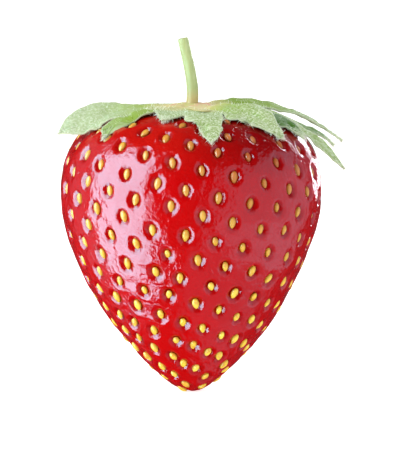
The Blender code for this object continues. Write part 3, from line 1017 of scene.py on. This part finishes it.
paint(stalk, "ribs", np.array(ribs))
add_modifier(stalk, "SUBSURF", levels=1, render_levels=1)
add_modifier(stalk, "DISPLACE", vertex_group="ribs", strength=-RIB_DEPTH, mid_level=0)
apply_all(stalk)
stalk.vertex_groups.clear()
bpy.ops.object.shade_smooth()

# %% Stalk material
FIBRE_SIZE, FIBRE_STRETCH = 0.25 * MM, 0.15
stem, stem_shader = new_material("green stalk")
where = add_node(stem, "TexCoord")
place = add_node(stem, "SeparateXYZ", {"Vector": where.outputs["Object"]})
stretched = add_node(stem, "Mapping", {
    "Vector": where.outputs["Object"], "Scale": (1, 1, FIBRE_STRETCH)})
fibres = add_node(stem, "TexNoise", {
    "Vector": stretched.outputs[0], "Scale": 1 / FIBRE_SIZE, "Detail": 2.0})
green = add_node(stem, "MixRGB", {
    "Fac": fibres.outputs["Fac"], "Color1": colour("98a866"), "Color2": colour("bac494")})
foot = add_node(stem, "MapRange", {
    "Value": place.outputs["Z"],
    "From Min": STALK[0].z + 2.5 * MM, "From Max": STALK[0].z + 0.9 * MM})
stem_colour = add_node(stem, "MixRGB", {
    "Fac": foot.outputs[0], "Color1": green.outputs[0], "Color2": colour("bdae78")})
fibre_bump = add_node(stem, "Bump", {
    "Height": fibres.outputs["Fac"], "Strength": 0.4, "Distance": 0.04 * MM})
stem.node_tree.links.new(stem_colour.outputs[0], stem_shader.inputs["Base Color"])
stem.node_tree.links.new(fibre_bump.outputs[0], stem_shader.inputs["Normal"])
# A fibrous rind with a little down: a broad, weak highlight
stem_shader.inputs["Roughness"].default_value = 0.5
stem_shader.inputs["Specular IOR Level"].default_value = 0.15
stem_shader.inputs["Sheen Weight"].default_value = 0.05
stalk.data.materials.clear()
stalk.data.materials.append(stem)
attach(stalk, "root")
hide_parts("stalk")
print("stalk material:", stem.name)

# %% [markdown]
# ## Down
# The leaves carry fine white hairs that show against the flesh along their edges and at
# their tips. There are thousands, so one hair, a three-sided spike, is repeated with
# numpy inside a single mesh instead of being copied as an object each time.

# %% Where the hairs grow
HAIR_LENGTH = (0.3 * MM, 0.75 * MM)
HAIR_RADIUS = 0.024 * MM
HAIRS_PER_LEAF = 300


def read_attribute(piece, name):
    values = np.empty(len(piece.data.vertices), np.float32)
    piece.data.attributes[name].data.foreach_get("value", values)
    return values


def hair_sites(leaf, chance):
    """Root, direction and length of each hair on a leaf, most of them near its edge."""
    spots = np.array([vertex.co for vertex in leaf.data.vertices])
    normals = np.array([vertex.normal for vertex in leaf.data.vertices])
    edge, share = read_attribute(leaf, "edge"), read_attribute(leaf, "share")
    liking = 0.15 + 3 * np.clip(edge - 0.75, 0, 1) + 14 * np.clip(share - 0.85, 0, 1)
    liking[share < 0.15] = 0.05
    chosen = chance.choice(len(spots), HAIRS_PER_LEAF, p=liking / liking.sum())
    outward = spots[chosen] - spots.mean(axis=0)
    outward /= np.linalg.norm(outward, axis=1, keepdims=True)
    lean = normals[chosen] * 0.7 + outward * 0.6 + chance.normal(0, 0.35, (HAIRS_PER_LEAF, 3))
    lean /= np.linalg.norm(lean, axis=1, keepdims=True)
    return spots[chosen], lean, chance.uniform(*HAIR_LENGTH, HAIRS_PER_LEAF)


chance = np.random.default_rng(3)
sites = [hair_sites(leaf, chance) for leaf in LAID.values()]
roots, leans, lengths = (np.concatenate(part) for part in zip(*sites))
print(len(roots), "hairs")

# %% Repeat one hair
side = np.cross(leans, (0.3, 0.5, 0.8))
side /= np.linalg.norm(side, axis=1, keepdims=True)
other = np.cross(leans, side)
corners = [roots + leans * lengths[:, None]]
for turn in (0, math.tau / 3, 2 * math.tau / 3):
    corners.append(roots + (side * math.cos(turn) + other * math.sin(turn)) * HAIR_RADIUS)
spots = np.stack(corners, axis=1).reshape(-1, 3)
one_hair = np.array([(0, 1, 2), (0, 2, 3), (0, 3, 1), (1, 3, 2)])
faces = (one_hair[None] + 4 * np.arange(len(roots))[:, None, None]).reshape(-1, 3)
hair_mesh = bpy.data.meshes.new("down")
hair_mesh.from_pydata(spots.tolist(), [], faces.tolist())
down = bpy.data.objects.new("down", hair_mesh)
bpy.context.scene.collection.objects.link(down)
only(down)
white_hair, hair_shader = new_material("white plant hair")
hair_shader.inputs["Base Color"].default_value = colour("e8eedd")
hair_shader.inputs["Roughness"].default_value = 0.5  # a hair catches light along its length
down.data.materials.append(white_hair)
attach(down, "root")
print("down:", len(down.data.polygons), "faces")
